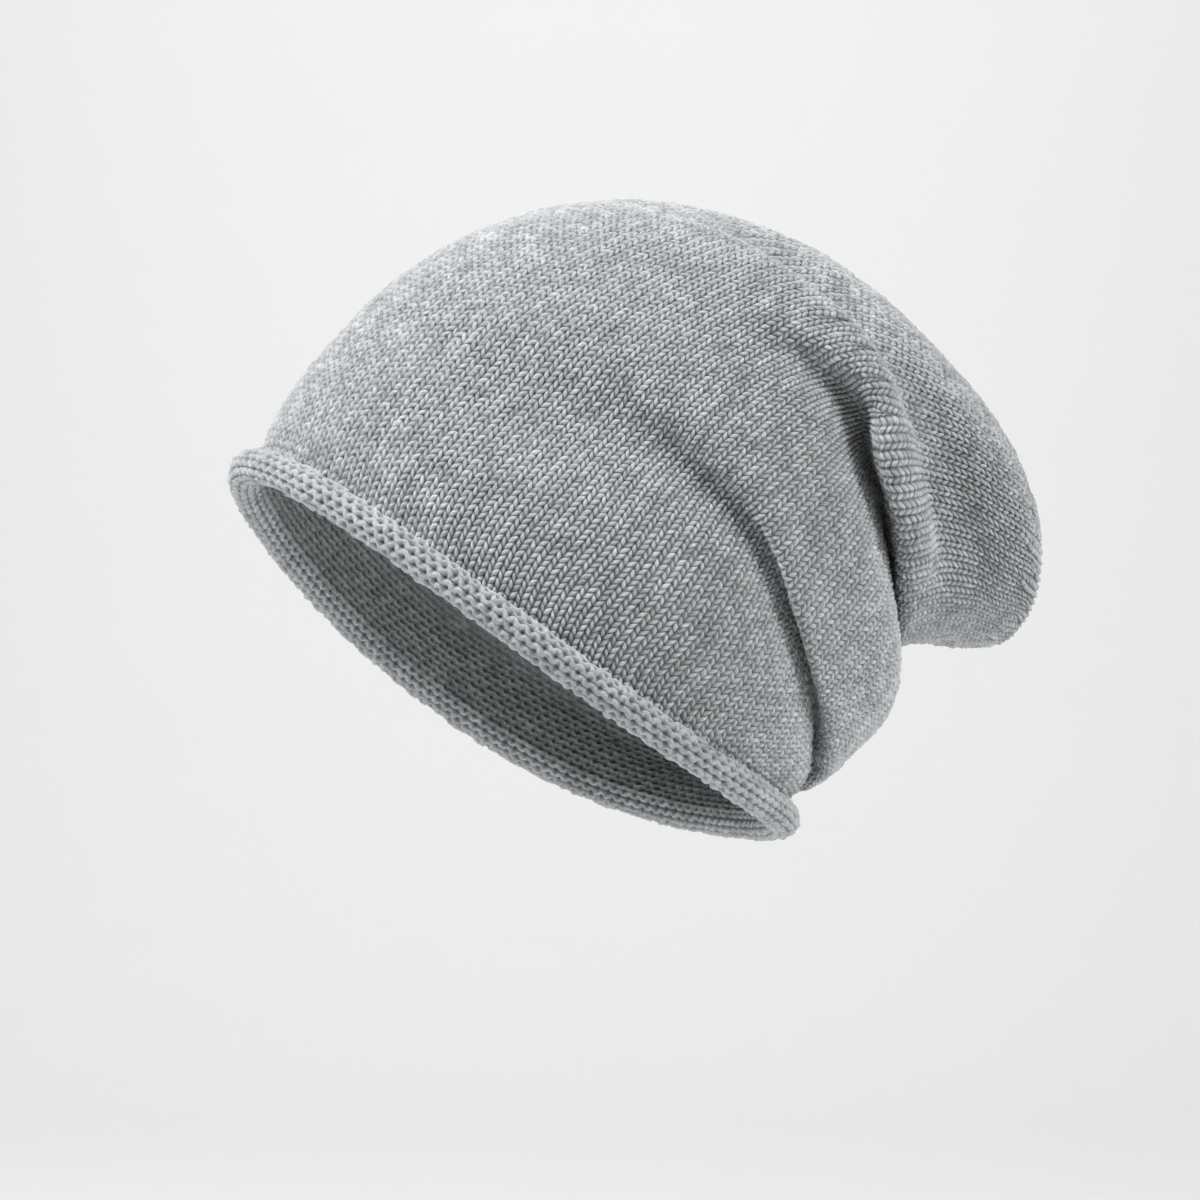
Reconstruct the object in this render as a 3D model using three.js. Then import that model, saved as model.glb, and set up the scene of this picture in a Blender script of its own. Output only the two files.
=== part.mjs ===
// A slouchy knitted beanie with a rolled brim, in the form that it has when it is worn.
// Millimetres, +Z up. The wearer's front is towards -Y and the wearer's left towards +X.
// The origin is the middle of the head opening, whose front edge is the higher one.
//
// The fabric is one tube. A place on it has two numbers: level, the share of the way from the
// opening (0) to the closed tip (1), and turn, the share of the way round, from the top of the
// hat (0) over the wearer's left side to the nape (0.5) and back over the right side (1).
import * as THREE from 'three';

// The head opening, at the outer face of the fabric
const openingLength = 201;
const openingWidth = 160;
const openingTilt = THREE.MathUtils.degToRad(33.3);
const sideDroop = 11.5;

// The crown: where the tip lies, how far the top rises over the straight line from the front
// edge to the tip, and how far the nape side sags under its own straight line to the tip
const tipBack = 169;
const tipUp = 40;
const crownRise = 100;
const napeSag = 22;

// The knitted fabric and its rolled edge
const knitThickness = 2.6;
const rollDiameter = 11.2;
const curlEndAngle = THREE.MathUtils.degToRad(92);
const seamClearance = 0.3;

// The folds: how deep each goes in, how far its overhanging edge leans over it (towards the tip
// where that is negative), and how far that edge stands out
const tuckDepth = 11;
const tuckLip = 8;
const dentDepth = 5;
const creaseDepth = 28;
const creaseLip = 8;
const stepDepth = 8;
const stepLip = -1;
const edgeRise = 2;

// Sections of the crown, from the opening to the tip.
// topAlong and napeAlong are shares of the way from the opening's edge to the tip, topRise is a
// share of crownRise, sag of napeSag, width of openingWidth and bow of sideDroop. egg moves the
// widest place towards the nape, as a share of half the section's height.
const sectionColumns = [
  'level', 'topAlong', 'topRise', 'napeAlong', 'sag', 'width', 'bow', 'egg',
];
const sections = [
  [0.00, 0.000, 0.000, 0.000, 0.00, 1.000, -1.00, 0.18],
  [0.05, 0.026, 0.180, 0.030, -0.05, 1.035, -0.95, 0.18],
  [0.14, 0.101, 0.445, 0.096, 0.07, 1.090, -0.90, 0.16],
  [0.22, 0.198, 0.692, 0.190, 0.12, 1.100, -0.92, 0.14],
  [0.31, 0.327, 0.884, 0.336, 0.50, 1.090, -1.00, 0.10],
  [0.40, 0.456, 0.972, 0.442, 0.60, 1.060, -0.91, 0.06],
  [0.50, 0.589, 0.970, 0.550, 0.30, 1.025, -0.83, 0.00],
  [0.58, 0.690, 0.906, 0.665, 0.06, 0.975, -0.68, 0.00],
  [0.67, 0.778, 0.785, 0.750, 0.56, 0.925, -0.42, 0.00],
  [0.76, 0.851, 0.630, 0.840, 1.05, 0.840, -0.08, 0.00],
  [0.82, 0.900, 0.500, 0.922, 1.40, 0.760, 0.15, 0.00],
  [0.88, 0.941, 0.357, 0.990, 1.64, 0.610, 0.23, 0.00],
  [0.94, 0.976, 0.193, 1.010, 1.30, 0.350, 0.23, 0.00],
  [1.00, 1.000, 0.013, 1.004, 0.07, 0.030, 0.00, 0.00],
].map((row) => Object.fromEntries(row.map((value, i) => [sectionColumns[i], value])));

// Folds. level is where the fold lies round the side, and before and after are the widths of its
// two slopes, all shares of the fabric's length. round is the share of the way from the top (0)
// to the nape (1): from knee towards the top the fold runs to lower levels by climb, and from
// knee towards the nape by fall. It begins at start, is whole from full on, and fades out between
// fadeFrom and fadeTo where it has them.
const folds = [
  { name: 'tuck', level: 0.322, knee: 0.55, climb: 0.46, fall: 0.30, before: 0.055, after: 0.034,
    depth: tuckDepth, lip: tuckLip, start: 0.25, full: 0.72 },
  { name: 'soft dent', level: 0.300, knee: 0.55, climb: 0.46, fall: 0.30, before: 0.070,
    after: 0.045, depth: dentDepth, lip: 0, start: 0.14, full: 0.34, fadeFrom: 0.40, fadeTo: 0.62 },
  { name: 'crease', level: 0.533, knee: 0.47, climb: 1.20, fall: 0, before: 0.060, after: 0.046,
    depth: creaseDepth, lip: creaseLip, start: 0.25, full: 0.56 },
  { name: 'pouch step', level: 0.622, knee: 0.50, climb: 0.60, fall: 0, before: 0.060, after: 0.110,
    depth: stepDepth, lip: stepLip, start: 0.02, full: 0.25, fadeFrom: 0.52, fadeTo: 0.75 },
];
const kneeSoftness = 0.09;
const lipPlace = 1.5;
const lipRise = 1.1;
const lipFall = 3.2;
const stillLevel = 0.12;
const deepestShare = 0.9;

// How finely the fabric is faceted: stations round half a ring, and steps up to each level
const halfStations = 24;
const levelSteps = [
  { upTo: 0.14, steps: 4 },
  { upTo: 0.40, steps: 18 },
  { upTo: 0.66, steps: 22 },
  { upTo: 1.00, steps: 8 },
];
const spacingSamples = 90;
const rollOuterSteps = 11;
const rollInnerSteps = 6;
const nearby = 1e-4;

const openingFront = new THREE.Vector2(
  -openingLength / 2 * Math.cos(openingTilt),
  openingLength / 2 * Math.sin(openingTilt),
);
const openingNape = openingFront.clone().negate();
const tip = new THREE.Vector2(tipBack, tipUp);

// A smooth curve through one column of the section table
function throughSections(column, level) {
  const last = sections.length - 2;
  let row = 0;
  while (row < last && level >= sections[row + 1].level) {
    row += 1;
  }
  const slopeOf = (i) => (sections[i + 1][column] - sections[i][column]) / span(i);
  const tangentAt = (i) => {
    if (i === 0) {
      return slopeOf(0);
    }
    if (i === last + 1) {
      return slopeOf(last);
    }
    return (slopeOf(i - 1) * span(i) + slopeOf(i) * span(i - 1)) / (span(i - 1) + span(i));
  };
  const width = span(row);
  const t = (level - sections[row].level) / width;
  const fromStart = (2 * t ** 3 - 3 * t ** 2 + 1) * sections[row][column];
  const fromEnd = (3 * t ** 2 - 2 * t ** 3) * sections[row + 1][column];
  const fromTangents = (t ** 3 - 2 * t ** 2 + t) * tangentAt(row)
    + (t ** 3 - t ** 2) * tangentAt(row + 1);
  return fromStart + fromEnd + fromTangents * width;
}

function span(row) {
  return sections[row + 1].level - sections[row].level;
}

// The ring of fabric at one level: its middle, the half height towards the top, the direction
// of the tube towards the tip, and its half width, all but the last in the hat's middle plane
function ringAt(level) {
  const top = openingFront.clone().lerp(tip, throughSections('topAlong', level));
  top.y += throughSections('topRise', level) * crownRise;
  const nape = openingNape.clone().lerp(tip, throughSections('napeAlong', level));
  nape.y -= throughSections('sag', level) * napeSag;
  const middle = top.clone().add(nape).multiplyScalar(0.5);
  const half = top.sub(nape).multiplyScalar(0.5);
  const forward = new THREE.Vector2(half.y, -half.x).normalize();
  return {
    middle,
    half,
    forward,
    halfWidth: throughSections('width', level) * openingWidth / 2,
    bow: throughSections('bow', level) * sideDroop,
    egg: throughSections('egg', level),
  };
}

// A point of the ring before it is folded. The angle is 0 at the top and half a turn at the nape.
function ringPoint(ring, angle) {
  const aside = Math.sin(angle);
  const upwards = Math.cos(angle) - ring.egg * aside ** 2;
  const inPlane = ring.middle.clone()
    .addScaledVector(ring.half, upwards)
    .addScaledVector(ring.forward, ring.bow * aside ** 2);
  return new THREE.Vector3(ring.halfWidth * aside, inPlane.x, inPlane.y);
}

// Angles that lie evenly along the ring, for shares of the way from the top to the nape
function evenAngles(ring) {
  const lengths = [0];
  let before = ringPoint(ring, 0);
  for (let i = 1; i <= spacingSamples; i += 1) {
    const here = ringPoint(ring, Math.PI * i / spacingSamples);
    lengths.push(lengths[i - 1] + here.distanceTo(before));
    before = here;
  }
  const whole = lengths[spacingSamples];
  return (share) => {
    const wanted = share * whole;
    let i = 1;
    while (i < spacingSamples && lengths[i] < wanted) {
      i += 1;
    }
    const within = (wanted - lengths[i - 1]) / (lengths[i] - lengths[i - 1]);
    return Math.PI * (i - 1 + within) / spacingSamples;
  };
}

const smoothstep = THREE.MathUtils.smoothstep;

function slopedBump(distance, before, after) {
  const width = distance < 0 ? before : after;
  return Math.exp(-((distance / width) ** 2));
}

// How far the folds move a place inwards, and back towards the opening
function foldAt(round, level) {
  let inwards = 0;
  let backwards = 0;
  for (const fold of folds) {
    const fade = fold.fadeFrom === undefined ? 0 : smoothstep(round, fold.fadeFrom, fold.fadeTo);
    const strength = smoothstep(round, fold.start, fold.full) * (1 - fade);
    const above = Math.max(fold.knee - round, 0);
    const below = Math.max(round - fold.knee, 0);
    const distance = level - fold.level + fold.climb * above ** 2 / (above + kneeSoftness)
      + fold.fall * below ** 2 / (below + kneeSoftness);
    const side = Math.sign(fold.lip);
    const steep = side > 0 ? fold.after : fold.before;
    const edge = side === 0 ? 0
      : slopedBump(side * distance - steep * lipPlace, steep * lipRise, steep * lipFall);
    const valley = slopedBump(distance, fold.before, fold.after);
    inwards += strength * (fold.depth * valley - edgeRise * edge);
    backwards += strength * fold.lip * edge;
  }
  const free = smoothstep(level, 0, stillLevel);
  return { inwards: inwards * free, backwards: backwards * free };
}

// One ring of the folded outer face, as a function of the turn
function foldedRing(level) {
  const ring = ringAt(level);
  const angleOf = evenAngles(ring);
  const middle = new THREE.Vector3(0, ring.middle.x, ring.middle.y);
  const forward = new THREE.Vector3(0, ring.forward.x, ring.forward.y);
  return (turn) => {
    const wrapped = turn - Math.floor(turn);
    const onRight = wrapped > 0.5;
    const round = onRight ? 2 - 2 * wrapped : 2 * wrapped;
    const place = ringPoint(ring, angleOf(round));
    const move = foldAt(round, level);
    const towardsMiddle = middle.clone().sub(place);
    const room = towardsMiddle.length();
    place.addScaledVector(towardsMiddle.normalize(), Math.min(move.inwards, deepestShare * room));
    place.addScaledVector(forward, -move.backwards);
    if (onRight) {
      place.x = -place.x;
    }
    return place;
  };
}

function levels() {
  const list = [0];
  let from = 0;
  for (const { upTo, steps } of levelSteps) {
    for (let i = 1; i <= steps; i += 1) {
      list.push(from + (upTo - from) * i / steps);
    }
    from = upTo;
  }
  return list;
}

function turns() {
  return Array.from({ length: 2 * halfStations }, (_, i) => i / (2 * halfStations));
}

// The direction out of the fabric at one station, from its neighbours on the grid of places
function outwards(grid, row, station) {
  const ring = grid[row];
  const count = ring.length;
  const above = grid[Math.min(row + 1, grid.length - 1)][station];
  const below = grid[Math.max(row - 1, 0)][station];
  const around = ring[(station + 1) % count].clone().sub(ring[(station + count - 1) % count]);
  return around.cross(above.clone().sub(below)).normalize();
}

function middleOf(places) {
  return places.reduce((sum, place) => sum.add(place), new THREE.Vector3()).divideScalar(places.length);
}

// A closed mesh from its vertices and faces
function solidGeometry(vertices, faces) {
  const geometry = new THREE.BufferGeometry();
  const numbers = vertices.flatMap((vertex) => vertex.toArray());
  geometry.setAttribute('position', new THREE.Float32BufferAttribute(numbers, 3));
  geometry.setIndex(faces.flat());
  geometry.computeVertexNormals();
  return geometry;
}

// Two faces for each field between neighbouring rings of stations
function bandFaces(lower, upper, stations) {
  const faces = [];
  for (let i = 0; i < stations; i += 1) {
    const next = (i + 1) % stations;
    faces.push([lower + i, lower + next, upper + next]);
    faces.push([lower + i, upper + next, upper + i]);
  }
  return faces;
}

function fanFaces(ring, centre, stations) {
  return Array.from({ length: stations }, (_, i) => [ring + i, ring + (i + 1) % stations, centre]);
}

function turnedOver(faces) {
  return faces.map(([a, b, c]) => [a, c, b]);
}

// The crown: a folded wall that is open at the head and closed at the tip
function crownGeometry() {
  const stations = turns();
  const count = stations.length;
  const heights = levels();
  const outer = heights.map((level) => stations.map(foldedRing(level)));
  const inner = outer.slice(0, -1).map((ring, row) => ring.map((place, station) => (
    place.clone().addScaledVector(outwards(outer, row, station), -knitThickness)
  )));
  const outerTip = middleOf(outer[outer.length - 1]);
  const intoHat = middleOf(inner[inner.length - 1]).sub(outerTip).normalize();
  const innerTip = outerTip.clone().addScaledVector(intoHat, knitThickness);

  const vertices = [...outer.flat(), ...inner.flat(), outerTip, innerTip];
  const innerStart = outer.length * count;
  const outerTipIndex = innerStart + inner.length * count;
  const faces = [];
  for (let row = 0; row + 1 < outer.length; row += 1) {
    faces.push(...bandFaces(row * count, (row + 1) * count, count));
  }
  faces.push(...fanFaces((outer.length - 1) * count, outerTipIndex, count));
  for (let row = 0; row + 1 < inner.length; row += 1) {
    const lower = innerStart + row * count;
    faces.push(...turnedOver(bandFaces(lower, lower + count, count)));
  }
  faces.push(...turnedOver(fanFaces(outerTipIndex - count, outerTipIndex + 1, count)));
  faces.push(...turnedOver(bandFaces(0, innerStart, count)));
  return solidGeometry(vertices, faces);
}

// The roll's section: how far out and up each corner lies from the middle of the roll. The
// fabric leaves the crown's bottom edge, curls down, out and up, and ends over the crown.
function rollSection() {
  const outerRadius = rollDiameter / 2;
  const innerRadius = outerRadius - knitThickness;
  const begin = Math.PI + Math.asin(seamClearance / innerRadius);
  const end = 2 * Math.PI + curlEndAngle;
  const arc = (radius, steps) => Array.from({ length: steps + 1 }, (_, i) => {
    const angle = THREE.MathUtils.lerp(begin, end, i / steps);
    return { out: radius * Math.cos(angle), up: radius * Math.sin(angle) };
  });
  return [...arc(outerRadius, rollOuterSteps), ...arc(innerRadius, rollInnerSteps).reverse()];
}

// The rolled brim: the section swept round the opening, under the crown's bottom edge
function brimGeometry() {
  const stations = turns();
  const edge = foldedRing(0);
  const openingUp = new THREE.Vector3(0, Math.sin(openingTilt), Math.cos(openingTilt));
  const section = rollSection();
  const rollMiddle = rollDiameter / 2 - knitThickness;
  const vertices = stations.flatMap((turn) => {
    const place = edge(turn);
    const along = edge(turn + nearby).sub(edge(turn - nearby)).normalize();
    const out = along.clone().cross(openingUp).normalize();
    const up = out.clone().cross(along);
    return section.map((corner) => place.clone()
      .addScaledVector(out, rollMiddle + corner.out)
      .addScaledVector(up, corner.up));
  });
  const corners = section.length;
  const faces = [];
  for (let i = 0; i < stations.length; i += 1) {
    const next = (i + 1) % stations.length;
    faces.push(...bandFaces(next * corners, i * corners, corners));
  }
  return solidGeometry(vertices, faces);
}

function knitMaterial(color) {
  return new THREE.MeshStandardMaterial({ color, roughness: 0.95, metalness: 0 });
}

function piece(name, geometry, material) {
  const mesh = new THREE.Mesh(geometry, material);
  mesh.name = name;
  return mesh;
}

const beanie = new THREE.Group();
beanie.add(piece('crown', crownGeometry(), knitMaterial(0xb4b8bb)));
beanie.add(piece('rolled_brim', brimGeometry(), knitMaterial(0xbcc0c3)));

export default beanie;
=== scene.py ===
import math

import bmesh
import bpy
import numpy as np
from mathutils import Matrix, Vector


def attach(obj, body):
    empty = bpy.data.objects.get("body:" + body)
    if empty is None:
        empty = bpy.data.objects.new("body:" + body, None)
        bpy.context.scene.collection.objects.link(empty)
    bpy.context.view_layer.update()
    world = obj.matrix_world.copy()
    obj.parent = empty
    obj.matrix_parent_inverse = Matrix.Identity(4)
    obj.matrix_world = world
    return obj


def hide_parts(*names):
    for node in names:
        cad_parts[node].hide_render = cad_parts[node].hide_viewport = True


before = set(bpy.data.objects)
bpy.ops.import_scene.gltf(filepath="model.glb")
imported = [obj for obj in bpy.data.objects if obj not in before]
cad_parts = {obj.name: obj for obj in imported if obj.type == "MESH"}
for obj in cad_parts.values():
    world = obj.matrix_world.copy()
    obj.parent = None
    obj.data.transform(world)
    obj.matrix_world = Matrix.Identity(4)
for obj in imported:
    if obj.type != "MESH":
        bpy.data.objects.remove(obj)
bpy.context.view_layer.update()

MM = 0.001

# Guards against a length of nothing, and against a whole number that an error puts just below it
TINY = 1e-9
NUDGE = 1e-6

# The form, with the sizes and sections of the part's source; its folds stand out further
OPENING_LENGTH = 201.0
OPENING_WIDTH = 160.0
OPENING_TILT = math.radians(33.3)
SIDE_DROOP = 11.5
TIP_BACK = 169.0
TIP_UP = 40.0
CROWN_RISE = 100.0
NAPE_SAG = 22.0
KNIT_THICKNESS = 2.6
ROLL_DIAMETER = 11.2

SECTION_COLUMNS = ("level", "top_along", "top_rise", "nape_along", "sag", "width", "bow", "egg")
SECTIONS = np.array([
    (0.00, 0.000, 0.000, 0.000, 0.00, 1.000, -1.00, 0.18),
    (0.05, 0.026, 0.180, 0.030, -0.05, 1.035, -0.95, 0.18),
    (0.14, 0.101, 0.445, 0.096, 0.07, 1.090, -0.90, 0.16),
    (0.22, 0.198, 0.692, 0.190, 0.12, 1.100, -0.92, 0.14),
    (0.31, 0.327, 0.884, 0.336, 0.50, 1.090, -1.00, 0.10),
    (0.40, 0.456, 0.972, 0.442, 0.60, 1.060, -0.91, 0.06),
    (0.50, 0.589, 0.970, 0.550, 0.30, 1.025, -0.83, 0.00),
    (0.58, 0.690, 0.906, 0.665, 0.06, 0.975, -0.68, 0.00),
    (0.67, 0.778, 0.785, 0.750, 0.56, 0.925, -0.42, 0.00),
    (0.76, 0.851, 0.630, 0.840, 1.05, 0.840, -0.08, 0.00),
    (0.82, 0.900, 0.500, 0.922, 1.40, 0.760, 0.15, 0.00),
    (0.88, 0.941, 0.357, 0.990, 1.64, 0.610, 0.23, 0.00),
    (0.94, 0.976, 0.193, 1.010, 1.30, 0.350, 0.23, 0.00),
    (1.00, 1.000, 0.013, 1.004, 0.07, 0.030, 0.00, 0.00),
])

# The folds in turn: the tuck over the nape, the soft dent at its upper end, the deep crease and
# the step behind it. Depth, lip and crest are lengths; the rest are shares of the way to the tip
# and of the way round. A fold with NEVER doesn't fade out before the nape.
NEVER = 9.0
FOLD_COLUMNS = ("level", "knee", "climb", "fall", "before", "after", "depth", "lip", "crest",
                "start", "full", "fade_from", "fade_to")
FOLDS = (
    (0.322, 0.55, 0.46, 0.30, 0.050, 0.020, 11.0, 11.0, 3.0, 0.25, 0.72, NEVER, NEVER + 1),
    (0.300, 0.55, 0.46, 0.30, 0.070, 0.045, 5.0, 0.0, 0.0, 0.14, 0.34, 0.40, 0.62),
    (0.533, 0.47, 1.20, 0.00, 0.050, 0.022, 28.0, 16.0, 3.0, 0.30, 0.56, NEVER, NEVER + 1),
    (0.636, 0.50, 0.60, 0.00, 0.028, 0.100, 11.0, -4.0, 3.0, 0.02, 0.25, 0.58, 0.80),
)
KNEE_SOFTNESS = 0.09
LIP_PLACE = 1.5
LIP_RISE = 1.1
LIP_FALL = 3.2
STILL_LEVEL = 0.12
DEEPEST_SHARE = 0.9

# The knit: wales run from the brim to the tip, courses run round
WALES = 144
COURSES = 132
WALE_LEAN = 0.07
WALE_LEAN_LEVELS = (0.16, 0.50)

# The fabric's grid, and the finer samples that it is worked out from
GRID_COLUMNS_PER_WALE = 8
GRID_ROWS_PER_COURSE = 8
LEVEL_SAMPLES = 1201
ANGLE_SAMPLES = 181

# The plain side: columns of a stitch's two legs, and the places up a leg that get a row
LEG_COLUMNS = 6
LEG_PHASES = (0.0, 0.22, 0.5, 0.78)
LEG_RISE = 0.82
LEAN_EASE = 4
LEG_RELIEF = 1.3
LEG_TOP = 0.4
LEG_EDGE_HEIGHT = 0.20
LEG_FULLNESS = 0.7
LEG_ALONG_PLACES = (0.0, 1 / 3, 2 / 3, 1.0)
LEG_ALONG_HEIGHTS = (0.14, 0.96, 1.0, 0.20)
RIGHT_LEG_SHARE = 0.56

# How one leg differs from another
LEG_SEED = 7
LEG_VALUES = 8192
LEG_STEP_ROUND = 9973
LEG_STEP_UP = 31
LEG_PLUMPNESS = (0.66, 1.18)
LEG_SHIFT = 0.2

# The purl side: arched strands with pits between them, and how one strand differs from another
PURL_PHASES = (0.0, 0.2, 0.5, 0.8)
INSIDE_PHASES = (0.0, 0.5)
PURL_WAVE = 0.24
PURL_PIT = 0.92
PIT_SLOPE = 3.2
PURL_RELIEF = 1.9
STRAND_EDGE_HEIGHT = 0.42
STRAND_ARCH_HEIGHT = 0.58
STRAND_FULLNESS = 0.8
STRAND_SEED = 3
STRAND_VALUES = 4096
STRAND_STEP_ROUND = 613
STRAND_STEP_UP = 29
STRAND_PLUMPNESS = (0.62, 1.12)

# Inside the hat the relief calms down above these courses, to a part of its height about a mean
INSIDE_CALM = (6.0, 15.0)
INSIDE_CALMED = 0.88
INSIDE_MEAN_HEIGHT = 0.45
INSIDE_PROUD = 0.9

# The roll: how far it turns, how proud its strands are, and its slow swelling round the hat
ROLL_COURSES = 10
ROLL_COLUMNS_PER_WALE = 8
ROLL_BEGIN = math.radians(168)
ROLL_END = 2 * math.pi + math.radians(118)
ROLL_PROUD = 0.2
ROLL_SWELL = 0.35
SWELL_SEED = 5
SWELL_WAVES = (5, 9, 14, 23)
SWELL_SHARE = 0.12

# The closed tip: for each ring of its stitches, its share of the edge's width and how far it sinks
TIP_COLUMNS = 36
TIP_COURSE = COURSES - 0.3
TIP_PLEAT = 0.35
TIP_MEAN_HEIGHT = 0.5
TIP_LAST_PLEAT = 0.2
TIP_RINGS = ((1.15, 0.6), (1.0, 0.1), (0.75, -0.1), (0.5, 0.3), (0.25, 0.9), (0.04, 1.5))
TIP_YARN = 3.0

# The slow unevenness of the fabric, which eases in over the first courses
UNEVEN_SEED = 11
UNEVEN_CELLS_UP = 40
UNEVEN_CELLS_ROUND = 60
UNEVEN_DEPTH = 0.25
UNEVEN_EASE = 6

# Pieces of the outside, from course to course, with how many wales one of theirs stands for
BANDS = (
    ("crown_knit_a", 0, 26, 1),
    ("crown_knit_b", 26, 52, 1),
    ("crown_knit_c", 52, 78, 1),
    ("crown_knit_d", 78, 110, 1.5),
    ("crown_knit_e", 110, 122, 3),
    ("crown_knit_f", 122, 128, 6),
    ("crown_knit_g", 128, 132, 12),
)

# Pieces of the inside, from course to course, with their columns for each wale
INSIDE_BANDS = (
    ("crown_inside_low", 0, 48, 4),
    ("crown_inside_high", 48, COURSES, 1),
)

# Decreases: between two courses of a piece, the last wale of each group narrows to nothing
DECREASES = {
    "crown_knit_c": (62, 78, 3),
    "crown_knit_d": (101, 110, 2),
    "crown_knit_e": (116, 122, 2),
    "crown_knit_f": (125, 128, 2),
}
DECREASE_SHARE = 0.45
DECREASE_VALUES = 64
DECREASE_STEP = 7
ENDING_SLOPE = 8
JOIN_WITHIN = 0.02

# The wools: light and dark fibres, streaks round and along a yarn, and the painted shade that
# darkens the gaps between stitches
BODY_WOOL = {
    "light": (0.66, 0.683, 0.697),
    "dark": (0.27, 0.283, 0.292),
    "yarn_scale": (2.3, 4.6, 1.0),
    "painted_shade_in_gaps": 0.22,
}
# The purl side is the body's yarn painted darker, with darker painted shade in its pits: a painted
# shade for the roll and the inside
PURL_WOOL_PAINTED_DARKER = {
    "light": (0.60, 0.622, 0.634),
    "dark": (0.24, 0.252, 0.260),
    "yarn_scale": (4.0, 3.4, 1.0),
    "painted_shade_in_gaps": 0.12,
}


def section_value(column, level):
    """A smooth curve through one column of the section table."""
    xs = SECTIONS[:, 0]
    ys = SECTIONS[:, SECTION_COLUMNS.index(column)]
    span = np.diff(xs)
    slope = np.diff(ys) / span
    tangent = np.empty_like(ys)
    tangent[1:-1] = (slope[:-1] * span[1:] + slope[1:] * span[:-1]) / (span[:-1] + span[1:])
    tangent[0] = slope[0]
    tangent[-1] = slope[-1]
    i = np.clip(np.searchsorted(xs, level, side="right") - 1, 0, len(xs) - 2)
    t = (level - xs[i]) / span[i]
    return ((2 * t**3 - 3 * t**2 + 1) * ys[i] + (3 * t**2 - 2 * t**3) * ys[i + 1]
            + ((t**3 - 2 * t**2 + t) * tangent[i] + (t**3 - t**2) * tangent[i + 1]) * span[i])


def smoothstep(x, low, high):
    t = np.clip((x - low) / (high - low), 0.0, 1.0)
    return t * t * (3 - 2 * t)


def sloped_bump(distance, before, after):
    return np.exp(-(distance / np.where(distance < 0, before, after)) ** 2)


def unit(vectors):
    return vectors / np.maximum(np.linalg.norm(vectors, axis=-1, keepdims=True), TINY)


def fold_moves(around, level):
    """How far the folds move a place inwards, and back towards the opening."""
    inwards = 0.0
    backwards = 0.0
    for row in FOLDS:
        fold = dict(zip(FOLD_COLUMNS, row))
        strength = smoothstep(around, fold["start"], fold["full"])
        strength = strength * (1 - smoothstep(around, fold["fade_from"], fold["fade_to"]))
        above = np.maximum(fold["knee"] - around, 0)
        below = np.maximum(around - fold["knee"], 0)
        distance = (level - fold["level"] + fold["climb"] * above**2 / (above + KNEE_SOFTNESS)
                    + fold["fall"] * below**2 / (below + KNEE_SOFTNESS))
        side = math.copysign(1, fold["lip"])
        steep = fold["after"] if side > 0 else fold["before"]
        edge = sloped_bump(side * distance - steep * LIP_PLACE, steep * LIP_RISE, steep * LIP_FALL)
        valley = sloped_bump(distance, fold["before"], fold["after"])
        inwards = inwards + strength * (fold["depth"] * valley - fold["crest"] * edge)
        backwards = backwards + strength * fold["lip"] * edge
    free = smoothstep(level, 0.0, STILL_LEVEL)
    return inwards * free, backwards * free


def wale_places(levels, wales):
    """Where the wales lie round the hat: they lean towards the top as they pass over its side."""
    lean = WALE_LEAN * smoothstep(levels, *WALE_LEAN_LEVELS)[:, None]
    return wales[None, :] - lean * np.sin(math.pi * wales)[None, :]


def half_form(levels, wales):
    """The outer face on the wearer's left half: an array of levels by wales."""
    arounds = wale_places(levels, wales)
    levels = levels[:, None]
    front = np.array([-OPENING_LENGTH / 2 * math.cos(OPENING_TILT),
                      OPENING_LENGTH / 2 * math.sin(OPENING_TILT)])
    tip = np.array([TIP_BACK, TIP_UP])
    top = front + section_value("top_along", levels) * (tip - front)
    top[:, 1] += section_value("top_rise", levels[:, 0]) * CROWN_RISE
    nape = -front + section_value("nape_along", levels) * (tip + front)
    nape[:, 1] -= section_value("sag", levels[:, 0]) * NAPE_SAG
    middle = (top + nape) / 2
    half = (top - nape) / 2
    forward = np.stack([half[:, 1], -half[:, 0]], 1)
    forward /= np.linalg.norm(forward, axis=1, keepdims=True)
    half_width = section_value("width", levels) * OPENING_WIDTH / 2
    bow = section_value("bow", levels) * SIDE_DROOP
    egg = section_value("egg", levels)

    def unfolded(angles):
        aside = np.sin(angles)
        upwards = np.cos(angles) - egg * aside**2
        x = half_width * aside
        y = middle[:, :1] + half[:, :1] * upwards + forward[:, :1] * bow * aside**2
        z = middle[:, 1:] + half[:, 1:] * upwards + forward[:, 1:] * bow * aside**2
        return np.stack([x, y, z], -1)

    samples = np.linspace(0, math.pi, ANGLE_SAMPLES)
    ring = unfolded(np.broadcast_to(samples, (len(levels), len(samples))))
    steps = np.linalg.norm(np.diff(ring, axis=1), axis=2)
    angles = np.empty(arounds.shape)
    for i in range(len(levels)):
        along = np.concatenate([[0.0], np.cumsum(steps[i])])
        angles[i] = np.interp(arounds[i], along / along[-1], samples)
    place = unfolded(angles)
    inwards, backwards = fold_moves(arounds, levels)
    centre = np.stack([np.zeros(len(levels)), middle[:, 0], middle[:, 1]], 1)[:, None, :]
    inward = centre - place
    room = np.linalg.norm(inward, axis=2)
    inward /= np.maximum(room, TINY)[..., None]
    ahead = np.stack([np.zeros(len(levels)), forward[:, 0], forward[:, 1]], 1)[:, None, :]
    return (place + inward * np.minimum(inwards, DEEPEST_SHARE * room)[..., None]
            - ahead * backwards[..., None])


def both_halves(half):
    """The whole way round, from the top over the left side and the nape to the right side."""
    other = half[:, -2:0:-1].copy()
    other[..., 0] *= -1
    return np.concatenate([half, other], axis=1)


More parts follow.
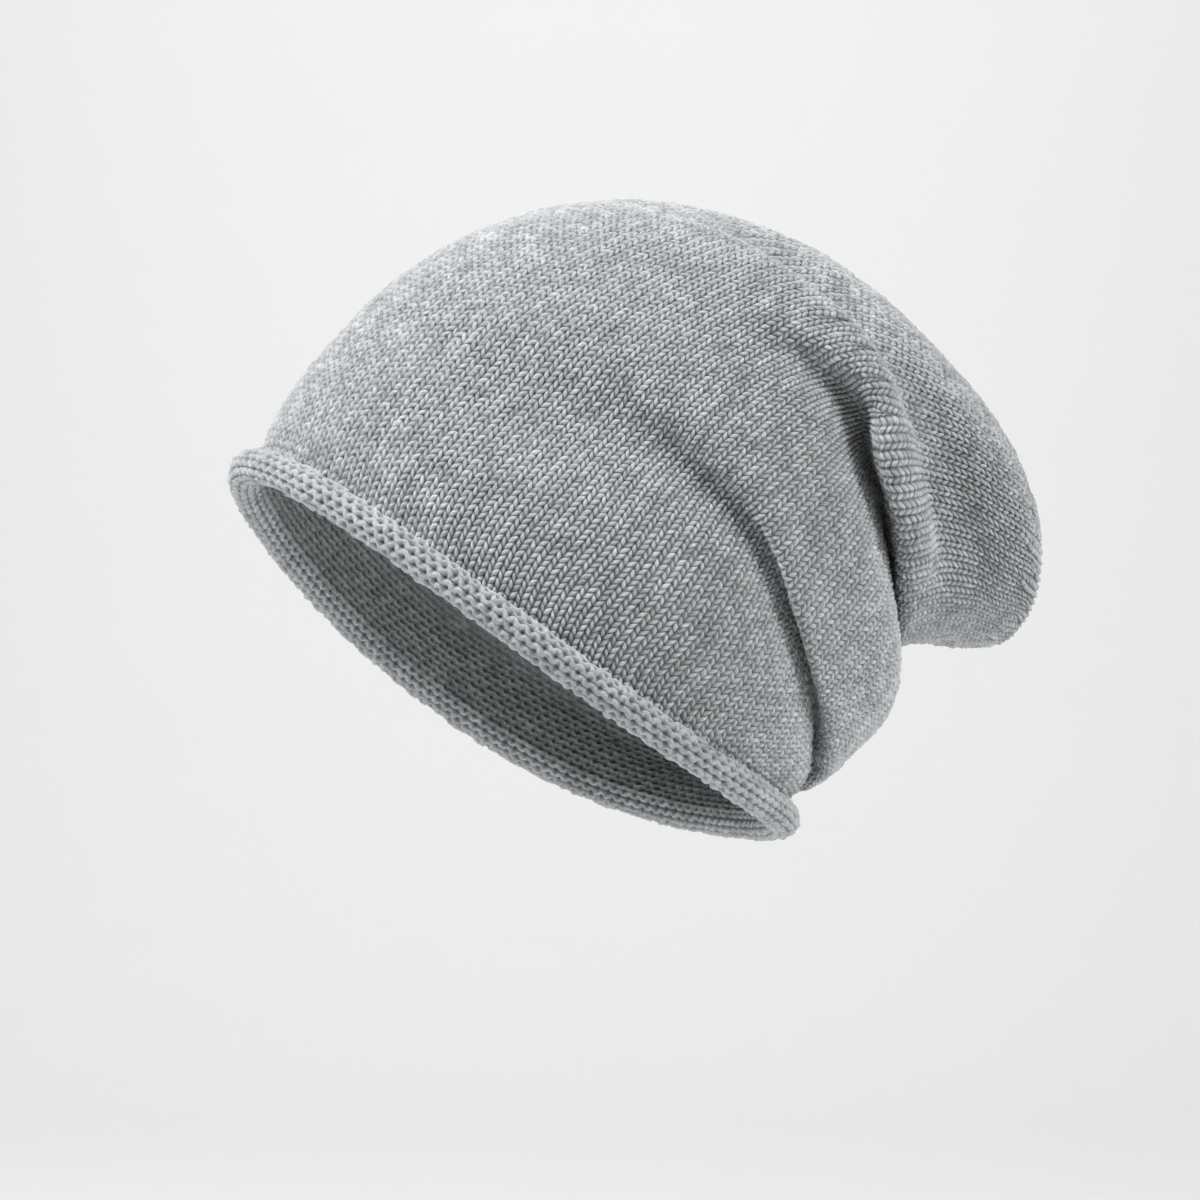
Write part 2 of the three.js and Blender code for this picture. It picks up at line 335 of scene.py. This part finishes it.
class Fabric:
    """The outer face as a grid, with columns along the wales and rows even along each of them."""

    def __init__(self):
        self.columns = WALES * GRID_COLUMNS_PER_WALE
        levels = np.linspace(0, 1, LEVEL_SAMPLES)
        half = half_form(levels, np.linspace(0, 1, self.columns // 2 + 1))
        steps = np.linalg.norm(np.diff(half, axis=0), axis=2)
        rows = COURSES * GRID_ROWS_PER_COURSE + 1
        even = np.empty((rows, half.shape[1], 3))
        for j in range(half.shape[1]):
            along = np.concatenate([[0.0], np.cumsum(steps[:, j])])
            wanted = np.linspace(0, along[-1], rows)
            for k in range(3):
                even[:, j, k] = np.interp(wanted, along, half[:, j, k])
        self.places = both_halves(even)
        self.normals = self.normals_of(self.places)

    @staticmethod
    def normals_of(places):
        up = np.empty_like(places)
        up[1:-1] = places[2:] - places[:-2]
        up[0] = places[1] - places[0]
        up[-1] = places[-1] - places[-2]
        around = np.roll(places, -1, axis=1) - np.roll(places, 1, axis=1)
        return unit(np.cross(around, up))

    def at(self, courses, wales):
        """Places and directions out of the fabric, for any course at any place across the wales."""
        courses, wales = np.broadcast_arrays(courses, wales)
        row = np.clip(courses, 0, COURSES) * GRID_ROWS_PER_COURSE
        low = np.minimum(row.astype(int), self.places.shape[0] - 2)
        up = (row - low)[..., None]
        column = wales * GRID_COLUMNS_PER_WALE
        left = np.floor(column + NUDGE).astype(int)
        aside = np.clip(column - left, 0, 1)[..., None]
        left = left % self.columns
        right = (left + 1) % self.columns

        def between(grid):
            below = grid[low, left] * (1 - aside) + grid[low, right] * aside
            above = grid[low + 1, left] * (1 - aside) + grid[low + 1, right] * aside
            return below * (1 - up) + above * up
        return between(self.places), unit(between(self.normals))


def steady_noise(seed, rows, columns, cells_up, cells_round):
    """Smooth unevenness over the fabric, seamless round it, about -1 to 1."""
    random = np.random.RandomState(seed)
    knots = random.uniform(-1, 1, (cells_up + 3, cells_round))
    up = np.linspace(0, cells_up, rows)
    across = np.arange(columns) * cells_round / columns
    i = up.astype(int)[:, None]
    j = across.astype(int)[None, :]
    a = smoothstep(up - up.astype(int), 0, 1)[:, None]
    b = smoothstep(across - across.astype(int), 0, 1)[None, :]
    j2 = (j + 1) % cells_round
    return ((knots[i, j] * (1 - a) + knots[i + 1, j] * a) * (1 - b)
            + (knots[i, j2] * (1 - a) + knots[i + 1, j2] * a) * b)


def one_each(random, low, high, count, which):
    """A value for each stitch, out of a number of random ones."""
    return random.uniform(low, high, count)[which % count]


def grid_mesh(name, places, height, round_units, up_units, outward=True, tone=0.5):
    """A mesh from closed rows of places, with a map of its own and one of its yarns."""
    rows, columns = places.shape[:2]
    k, c = np.meshgrid(np.arange(rows - 1), np.arange(columns), indexing="ij")
    corners_k = np.stack([k, k, k + 1, k + 1], -1)
    corners_c = np.stack([c, c + 1, c + 1, c], -1)
    if not outward:
        corners_k = corners_k[..., ::-1]
        corners_c = corners_c[..., ::-1]
    flat_k = corners_k.ravel()
    flat_c = corners_c.ravel()
    loops = (flat_k * columns + flat_c % columns).astype(np.int32)
    faces = len(loops) // 4
    mesh = bpy.data.meshes.new(name)
    mesh.vertices.add(rows * columns)
    mesh.vertices.foreach_set("co", (places * MM).astype(np.float32).ravel())
    mesh.loops.add(faces * 4)
    mesh.loops.foreach_set("vertex_index", loops)
    mesh.polygons.add(faces)
    mesh.polygons.foreach_set("loop_start", np.arange(0, faces * 4, 4, dtype=np.int32))
    mesh.polygons.foreach_set("loop_total", np.full(faces, 4, np.int32))
    widened = np.concatenate([round_units, [2 * round_units[-1] - round_units[-2]]])
    maps = (("OFBake", flat_c / columns, flat_k / (rows - 1)),
            ("yarn", widened[flat_c], up_units[flat_k]))
    for label, across, upwards in maps:
        uv = np.stack([across, upwards], 1).astype(np.float32).ravel()
        mesh.uv_layers.new(name=label).data.foreach_set("uv", uv)
    # The relief's height, kept as raised, sets the painted shade in the gaps; tone is each stitch's
    # own colour
    for label, values in (("raised", height), ("tone", tone)):
        spread = np.broadcast_to(values, places.shape[:2]).astype(np.float32).ravel()
        mesh.attributes.new(label, "FLOAT", "POINT").data.foreach_set("value", spread)
    mesh.update(calc_edges=True)
    mesh.shade_smooth()
    piece = bpy.data.objects.new(name, mesh)
    bpy.context.scene.collection.objects.link(piece)
    return piece


def leg_height(phase, aside):
    """The relief of a stitch's leg: plump along its middle, sunk at its ends and its edges."""
    rounded = np.sin(math.pi * phase) ** LEG_FULLNESS
    across = LEG_EDGE_HEIGHT + (1 - LEG_EDGE_HEIGHT) * rounded
    return across * np.interp(aside, LEG_ALONG_PLACES, LEG_ALONG_HEIGHTS)


def decreased(wale, course, first, last, group):
    """Where wales lie as the last of each group ends and the others widen, and its share left."""
    number = np.floor(wale / group + TINY)
    within = wale - number * group
    grown = np.minimum(within, group - 1) * group / (group - 1)
    random = np.random.RandomState(first)
    late = one_each(random, 0, 1, DECREASE_VALUES, number.astype(int) * DECREASE_STEP)
    span = (last - first) * DECREASE_SHARE
    begin = first + late * (last - first - span)
    share = smoothstep(course, begin, begin + span)
    ending = (np.clip((within - (group - 1)) * ENDING_SLOPE, 0, 1)
              * np.clip((group - within) * ENDING_SLOPE, 0, 1))
    return number * group + within * (1 - share) + grown * share, 1 - share * ending


def knit_band(fabric, unevenness, name, first, last, merged):
    """Courses of plain stitches, each a pair of legs that lean outwards from the wale's middle."""
    columns = round(WALES / merged) * LEG_COLUMNS
    index = np.arange(columns)
    halfway = LEG_COLUMNS // 2
    aside = (halfway - np.abs(index % LEG_COLUMNS - halfway)) / halfway
    base = np.array([n + phase for n in range(first, last) for phase in LEG_PHASES] + [last])
    phases = np.array(list(LEG_PHASES) * (last - first) + [0.0])
    lean = (LEG_RISE * np.clip(base / LEAN_EASE, 0, 1)
            * np.clip((COURSES - base) / LEAN_EASE, 0, 1))
    courses = base[:, None] + lean[:, None] * aside[None, :]
    within = index % LEG_COLUMNS / LEG_COLUMNS
    uneven = np.interp(within, (0.0, 0.5, 1.0), (0.0, RIGHT_LEG_SHARE, 1.0))
    wale = np.broadcast_to(index // LEG_COLUMNS + uneven, courses.shape)
    left_over = 1.0
    if name in DECREASES:
        wale, left_over = decreased(wale, base[:, None], *DECREASES[name])
    leg = ((index // halfway) * LEG_STEP_ROUND
           + np.floor(base + NUDGE)[:, None].astype(int) * LEG_STEP_UP)
    random = np.random.RandomState(first + LEG_SEED)
    plump = one_each(random, *LEG_PLUMPNESS, LEG_VALUES, leg)
    between_ends = ((aside > 0) & (aside < 1))[None, :]
    inside_leg = np.sin(math.pi * phases[:, None]) * between_ends
    courses = courses + LEG_SHIFT * one_each(random, -1, 1, LEG_VALUES, leg) * inside_leg
    wale = wale + LEG_SHIFT / 3 * one_each(random, -1, 1, LEG_VALUES, leg) * inside_leg
    tone = one_each(random, 0, 1, LEG_VALUES, leg)
    wale = wale * merged
    place, normal = fabric.at(courses, wale)
    height = leg_height(phases[:, None], aside[None, :]) * plump * left_over
    relief = LEG_TOP - LEG_RELIEF * (1 - height)
    row = np.clip((courses * GRID_ROWS_PER_COURSE).astype(int), 0, unevenness.shape[0] - 1)
    column = np.rint(wale * GRID_COLUMNS_PER_WALE).astype(int) % fabric.columns
    wave = UNEVEN_DEPTH * unevenness[row, column] * np.clip(base / UNEVEN_EASE, 0, 1)[:, None]
    place = place + normal * (relief + wave)[..., None]
    piece = grid_mesh(name, place, height, index / halfway, base, tone=tone)
    if name in DECREASES:
        close_ended_wales(piece)
    return piece


def close_ended_wales(piece):
    """Joins the places that meet where a wale has ended."""
    surface = bmesh.new()
    surface.from_mesh(piece.data)
    bmesh.ops.remove_doubles(surface, verts=surface.verts, dist=JOIN_WITHIN * MM)
    surface.to_mesh(piece.data)
    surface.free()


def purl_grid(wale, first, last, phases):
    """Rows of strands that arch up and down by turns, the pits between them, and their relief."""
    base = np.array([n + phase for n in range(first, last) for phase in phases] + [last])
    phase = np.array(list(phases) * (last - first) + [0.0])[:, None]
    row = np.floor(base + NUDGE).astype(int)[:, None]
    arch = np.cos(2 * math.pi * (wale - row % 2 / 2))
    courses = base[:, None] + PURL_WAVE * arch * np.sin(math.pi * phase)
    random = np.random.RandomState(first + STRAND_SEED)
    lower_pit = np.clip(arch, 0, 1) * np.clip(1 - PIT_SLOPE * phase, 0, 1)
    upper_pit = np.clip(-arch, 0, 1) * np.clip(1 - PIT_SLOPE * (1 - phase), 0, 1)
    strand = np.rint(wale * 2).astype(int) * STRAND_STEP_ROUND + row * STRAND_STEP_UP
    plump = one_each(random, *STRAND_PLUMPNESS, STRAND_VALUES, strand)
    rounded = np.sin(math.pi * phase) ** STRAND_FULLNESS
    height = (STRAND_EDGE_HEIGHT + STRAND_ARCH_HEIGHT * rounded) * plump
    return base, courses, height * (1 - PURL_PIT * (lower_pit + upper_pit))


def inside_band(fabric, name, first, last, columns_per_wale):
    """The purl side of the crown's wall."""
    wale = np.arange(WALES * columns_per_wale) / columns_per_wale
    base, courses, height = purl_grid(wale, first, last, INSIDE_PHASES)
    place, normal = fabric.at(np.maximum(courses, 0), wale[None, :])
    calm = 1 - INSIDE_CALMED * smoothstep(courses, *INSIDE_CALM)
    # The calmed height also gives a calmer painted shade in the pits further inside
    height = INSIDE_MEAN_HEIGHT + (height - INSIDE_MEAN_HEIGHT) * calm
    depth = KNIT_THICKNESS - INSIDE_PROUD + PURL_RELIEF * height
    place = place - normal * depth[..., None]
    return grid_mesh(name, place, height, wale * 2, base, outward=False)


def brim_roll(fabric):
    """The curled edge, purl side out: the inside's fabric goes on down, out and up round it."""
    wale = np.arange(WALES * ROLL_COLUMNS_PER_WALE) / ROLL_COLUMNS_PER_WALE
    edge, _ = fabric.at(np.zeros(len(wale)), wale)
    along = unit(np.roll(edge, -1, axis=0) - np.roll(edge, 1, axis=0))
    opening_up = np.array([0.0, math.sin(OPENING_TILT), math.cos(OPENING_TILT)])
    out = unit(np.cross(along, opening_up))
    up = np.cross(out, along)
    radius = ROLL_DIAMETER / 2
    centre = edge + out * (radius - KNIT_THICKNESS)
    base, courses, height = purl_grid(wale, 0, ROLL_COURSES, PURL_PHASES)
    turn = ROLL_BEGIN + (ROLL_END - ROLL_BEGIN) * courses / ROLL_COURSES
    around = 2 * math.pi * wale / WALES
    random = np.random.RandomState(SWELL_SEED)
    phase = random.uniform(0, 2 * math.pi, len(SWELL_WAVES))
    swell = sum(SWELL_SHARE * np.sin(n * around + phase[i]) for i, n in enumerate(SWELL_WAVES))
    distance = radius + ROLL_PROUD - PURL_RELIEF * (1 - height) + ROLL_SWELL * swell[None, :]
    place = (centre[None] + out[None] * (distance * np.cos(turn))[..., None]
             + up[None] * (distance * np.sin(turn))[..., None])
    return grid_mesh("brim_roll", place, height, wale * 2, base, outward=False)


def tip_button(fabric):
    """The gathered stitches that close the tip, drawn in to its middle."""
    index = np.arange(TIP_COLUMNS)
    edge, normal = fabric.at(np.full(TIP_COLUMNS, TIP_COURSE), index * WALES / TIP_COLUMNS)
    middle = edge.mean(axis=0)
    direction = unit(normal.mean(axis=0))
    pleat = TIP_PLEAT * np.cos(index * math.pi / 2)
    rows = []
    for share, sink in TIP_RINGS:
        ring = middle + (edge - middle) * share
        rows.append(ring + direction * (pleat * share)[:, None] - direction * sink)
    fading = np.linspace(1, TIP_LAST_PLEAT, len(TIP_RINGS))[:, None]
    # This height also sets the painted shade: darker where the pleats sink in
    height = TIP_MEAN_HEIGHT + pleat[None, :] * fading
    return grid_mesh("crown_tip", np.array(rows), height, index / TIP_YARN,
                     np.arange(len(TIP_RINGS)) / TIP_YARN)


def node(tree, kind, place, inputs=None, **settings):
    made = tree.nodes.new(kind)
    made.location = place
    for key, value in settings.items():
        setattr(made, key, value)
    for key, value in (inputs or {}).items():
        made.inputs[key].default_value = value
    return made


def heathered_colour(tree, where, light, dark, yarn_scale):
    """Streaks of light and dark fibres along the yarn, and slow clouds of them over the hat."""
    yarn = node(tree, "ShaderNodeUVMap", (-1100, 200), uv_map="yarn")
    stretch = node(tree, "ShaderNodeMapping", (-900, 200), {"Scale": yarn_scale})
    streaks = node(tree, "ShaderNodeTexNoise", (-700, 200),
                   {"Scale": 1.0, "Detail": 3.0, "Roughness": 0.6})
    clouds = node(tree, "ShaderNodeTexNoise", (-700, -100), {"Scale": 120.0, "Detail": 2.0})
    both = node(tree, "ShaderNodeMix", (-450, 100), {"Factor": 0.3}, data_type="FLOAT")
    ramp = node(tree, "ShaderNodeValToRGB", (-200, 100))
    for element, position, colour in zip(ramp.color_ramp.elements, (0.30, 0.68), (dark, light)):
        element.position = position
        element.color = (*colour, 1)
    tree.links.new(yarn.outputs["UV"], stretch.inputs["Vector"])
    tree.links.new(stretch.outputs["Vector"], streaks.inputs["Vector"])
    tree.links.new(where.outputs["Object"], clouds.inputs["Vector"])
    tree.links.new(streaks.outputs["Fac"], both.inputs["A"])
    tree.links.new(clouds.outputs["Fac"], both.inputs["B"])
    tree.links.new(both.outputs["Result"], ramp.inputs["Fac"])
    return ramp.outputs["Color"]


def painted_hollow_shade_and_leg_tone(tree, painted_shade_in_gaps):
    """Painted shade that darkens the gaps between the stitches by their relief, and a tone of its
    own for each leg.
    """
    raised = node(tree, "ShaderNodeAttribute", (-450, 400), attribute_name="raised")
    # Painted shade: the lower the relief, the darker the colour, down to the painted shade in the
    # gaps
    painted_gap_darkening = node(tree, "ShaderNodeMapRange", (-200, 400),
                   {"From Min": 0.0, "From Max": 0.75, "To Min": painted_shade_in_gaps, "To Max": 1.0})
    tone = node(tree, "ShaderNodeAttribute", (-450, 650), attribute_name="tone")
    each = node(tree, "ShaderNodeMapRange", (-200, 650), {"To Min": 0.83, "To Max": 1.15})
    shade = node(tree, "ShaderNodeMath", (0, 450), operation="MULTIPLY")
    tree.links.new(raised.outputs["Fac"], painted_gap_darkening.inputs["Value"])
    tree.links.new(tone.outputs["Fac"], each.inputs["Value"])
    tree.links.new(painted_gap_darkening.outputs["Result"], shade.inputs[0])
    tree.links.new(each.outputs["Result"], shade.inputs[1])
    return shade.outputs["Value"]


def fibre_bump(tree, where):
    """The fine roughness of the wool's fibres."""
    fibres = node(tree, "ShaderNodeTexNoise", (-700, -400), {"Scale": 1500.0, "Detail": 2.0})
    bump = node(tree, "ShaderNodeBump", (300, -300), {"Strength": 0.5, "Distance": 0.0004})
    tree.links.new(where.outputs["Object"], fibres.inputs["Vector"])
    tree.links.new(fibres.outputs["Fac"], bump.inputs["Height"])
    return bump.outputs["Normal"]


def knit_material(name, light, dark, yarn_scale, painted_shade_in_gaps):
    """Heathered wool: fibres of several greys twisted into the yarn, with a soft nap."""
    material = bpy.data.materials.new(name)
    material.use_nodes = True
    tree = material.node_tree
    tree.nodes.clear()
    output = node(tree, "ShaderNodeOutputMaterial", (900, 0))
    shader = node(tree, "ShaderNodeBsdfPrincipled", (600, 0), {
        "Roughness": 0.92,
        "Specular IOR Level": 0.25,
        "Sheen Weight": 0.35,
        "Sheen Roughness": 0.5,
        "Sheen Tint": (0.95, 0.97, 1.0, 1.0),
    })
    where = node(tree, "ShaderNodeTexCoord", (-1100, -150))
    shaded = node(tree, "ShaderNodeVectorMath", (200, 200), operation="MULTIPLY")
    tree.links.new(heathered_colour(tree, where, light, dark, yarn_scale), shaded.inputs[0])
    # The colour is darkened by the painted shade in the gaps between stitches
    tree.links.new(painted_hollow_shade_and_leg_tone(tree, painted_shade_in_gaps), shaded.inputs[1])
    tree.links.new(shaded.outputs["Vector"], shader.inputs["Base Color"])
    tree.links.new(fibre_bump(tree, where), shader.inputs["Normal"])
    tree.links.new(shader.outputs["BSDF"], output.inputs["Surface"])
    return material


def dress(piece, material, node_name):
    piece.data.materials.clear()
    piece.data.materials.append(material)
    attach(piece, "root")
    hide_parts(node_name)


def build_hat():
    fabric = Fabric()
    unevenness = steady_noise(UNEVEN_SEED, *fabric.places.shape[:2],
                              UNEVEN_CELLS_UP, UNEVEN_CELLS_ROUND)
    body = knit_material("body_wool", **BODY_WOOL)
    purl = knit_material("purl_wool", **PURL_WOOL_PAINTED_DARKER)
    for band in BANDS:
        dress(knit_band(fabric, unevenness, *band), body, "crown")
    dress(tip_button(fabric), body, "crown")
    for band in INSIDE_BANDS:
        dress(inside_band(fabric, *band), purl, "crown")
    dress(brim_roll(fabric), purl, "rolled_brim")


# The camera: how far round from the wearer's front and above the hat it stands, how far away,
# the picture's size and its scale at the hat, and what the camera looks at
CAMERA_TURN = math.radians(71.4)
CAMERA_ABOVE = math.radians(-2.2)
CAMERA_DISTANCE = 1600.0
PICTURE_PIXELS = 1200
PIXELS_PER_MM = 3.10
LOOK_RIGHT = 28.5
LOOK_UP = 15.4
SENSOR_WIDTH = 36
CLIP_START = 0.05

# The studio's directions as the camera sees them, level with the floor
BACK = Vector((math.sin(CAMERA_TURN), -math.cos(CAMERA_TURN), 0))
RIGHT = Vector((math.cos(CAMERA_TURN), math.sin(CAMERA_TURN), 0))
UP = Vector((0, 0, 1))
TARGET = (RIGHT * LOOK_RIGHT + UP * LOOK_UP) * MM

# The lamps, in metres from what the camera looks at, to the right, up and towards the camera:
# name, place, size, watts, colour and where each is aimed
LAMPS = (
    ("key", (-1.5, 1.7, 0.7), 1.0, 76, (1.0, 1.0, 1.0), (0.0, 0.0, 0.0)),
    ("right", (1.7, 1.1, 0.8), 1.1, 38, (1.0, 1.0, 0.99), (0.0, 0.0, 0.0)),
    ("low", (-1.4, -0.5, 1.2), 1.2, 1, (0.97, 0.98, 1.0), (0.0, 0.0, 0.0)),
    ("back_wash", (0.0, 2.2, -2.6), 2.4, 41, (1.0, 1.0, 1.0), (0.0, -0.1, -3.4)),
)
SKY_COLOUR = (0.96, 0.98, 1.0, 1)
SKY_STRENGTH = 0.02

# The floor, in metres: it runs back level, bends up with a radius, and goes on as a backdrop
FLOOR_UP = -0.30
FLOOR_NEAR = -6.0
FLOOR_FAR = 2.2
FLOOR_HALF_WIDTH = 7.0
BEND_RADIUS = 1.6
BEND_STEPS = 12
BACKDROP_TOP = 5.0
PAPER_COLOUR = (0.80, 0.80, 0.80, 1)
PAPER_ROUGHNESS = 0.9


def add_camera():
    scene = bpy.context.scene
    data = bpy.data.cameras.new("camera")
    camera = bpy.data.objects.new("camera", data)
    scene.collection.objects.link(camera)
    data.sensor_width = SENSOR_WIDTH
    data.lens = SENSOR_WIDTH * CAMERA_DISTANCE / (PICTURE_PIXELS / PIXELS_PER_MM)
    data.clip_start = CLIP_START
    away = BACK * math.cos(CAMERA_ABOVE) + UP * math.sin(CAMERA_ABOVE)
    above = away.cross(RIGHT)
    turned = Matrix((RIGHT, above, away)).transposed().to_4x4()
    camera.matrix_world = Matrix.Translation(TARGET + away * CAMERA_DISTANCE * MM) @ turned
    scene.camera = camera
    scene.view_settings.view_transform = "Standard"


def from_target(right, up, back):
    return TARGET + RIGHT * right + UP * up + BACK * back


def add_lamps():
    scene = bpy.context.scene
    for name, place, size, watts, colour, aim in LAMPS:
        data = bpy.data.lights.new(name, "AREA")
        data.size = size
        data.energy = watts
        data.color = colour
        lamp = bpy.data.objects.new(name, data)
        scene.collection.objects.link(lamp)
        lamp.location = from_target(*place)
        direction = from_target(*aim) - lamp.location
        lamp.rotation_euler = direction.to_track_quat("-Z", "Y").to_euler()
    world = bpy.data.worlds.new("studio")
    scene.world = world
    world.use_nodes = True
    sky = world.node_tree.nodes["Background"]
    sky.inputs["Color"].default_value = SKY_COLOUR
    sky.inputs["Strength"].default_value = SKY_STRENGTH


def add_floor():
    profile = [(FLOOR_NEAR, FLOOR_UP), (FLOOR_FAR, FLOOR_UP)]
    for i in range(1, BEND_STEPS + 1):
        angle = math.pi / 2 * i / BEND_STEPS
        profile.append((FLOOR_FAR + BEND_RADIUS * math.sin(angle),
                        FLOOR_UP + BEND_RADIUS * (1 - math.cos(angle))))
    profile.append((FLOOR_FAR + BEND_RADIUS, BACKDROP_TOP))
    vertices = [tuple(RIGHT * aside - BACK * away + UP * height)
                for away, height in profile for aside in (-FLOOR_HALF_WIDTH, FLOOR_HALF_WIDTH)]
    faces = [(2 * i, 2 * i + 1, 2 * i + 3, 2 * i + 2) for i in range(len(profile) - 1)]
    mesh = bpy.data.meshes.new("floor")
    mesh.from_pydata(vertices, [], faces)
    mesh.shade_smooth()
    floor = bpy.data.objects.new("floor", mesh)
    bpy.context.scene.collection.objects.link(floor)
    paper = bpy.data.materials.new("paper")
    paper.use_nodes = True
    shader = paper.node_tree.nodes["Principled BSDF"]
    shader.inputs["Base Color"].default_value = PAPER_COLOUR
    shader.inputs["Roughness"].default_value = PAPER_ROUGHNESS
    mesh.materials.append(paper)


build_hat()
add_camera()
add_lamps()
add_floor()
